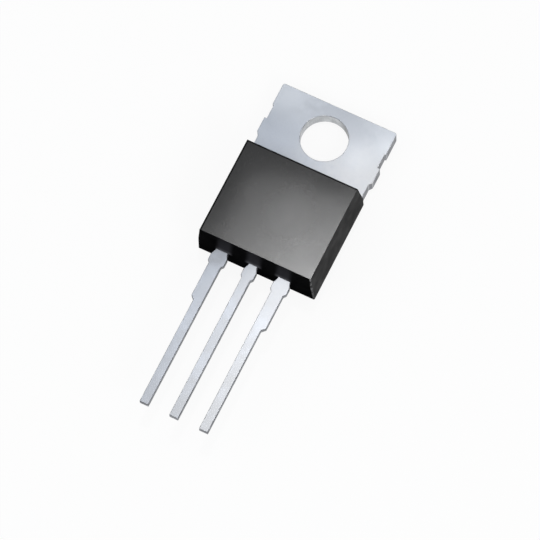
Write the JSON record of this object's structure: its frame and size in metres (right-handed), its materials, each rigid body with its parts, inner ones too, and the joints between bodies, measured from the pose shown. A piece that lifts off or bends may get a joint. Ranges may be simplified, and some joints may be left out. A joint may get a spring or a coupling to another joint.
{
  "type": "power transistor",
  "caption": "Power switching transistor in a moulded plastic body with a bolt-down metal tab and a row of flat leads.",
  "frame": {"origin": "on the axis of the mounting hole, at the back face of the tab, which is the face that seats on a heat sink", "axes": "+X across the part, +Y towards the end of the tab (the leads point along -Y), +Z out of the front of the mould; the part lies flat on its back"},
  "size_m": [0.01, 0.0289, 0.0044],
  "materials": {
    "mould": "black epoxy moulding compound with a fine satin texture",
    "tinned_copper": "copper with a matte tin plating, stamped",
    "silicon": "polished silicon chip with aluminium contact layers",
    "solder": "dull soft solder",
    "bond_wire": "bright drawn aluminium wire"
  },
  "bodies": {
    "root": {"mould_body": "mould", "drain_tab": "tinned_copper", "gate_lead": "tinned_copper", "source_lead": "tinned_copper", "chip": "silicon", "chip_solder": "solder", "gate_wire": "bond_wire", "source_wire_inner": "bond_wire", "source_wire_outer": "bond_wire"}
  },
  "joints": []
}
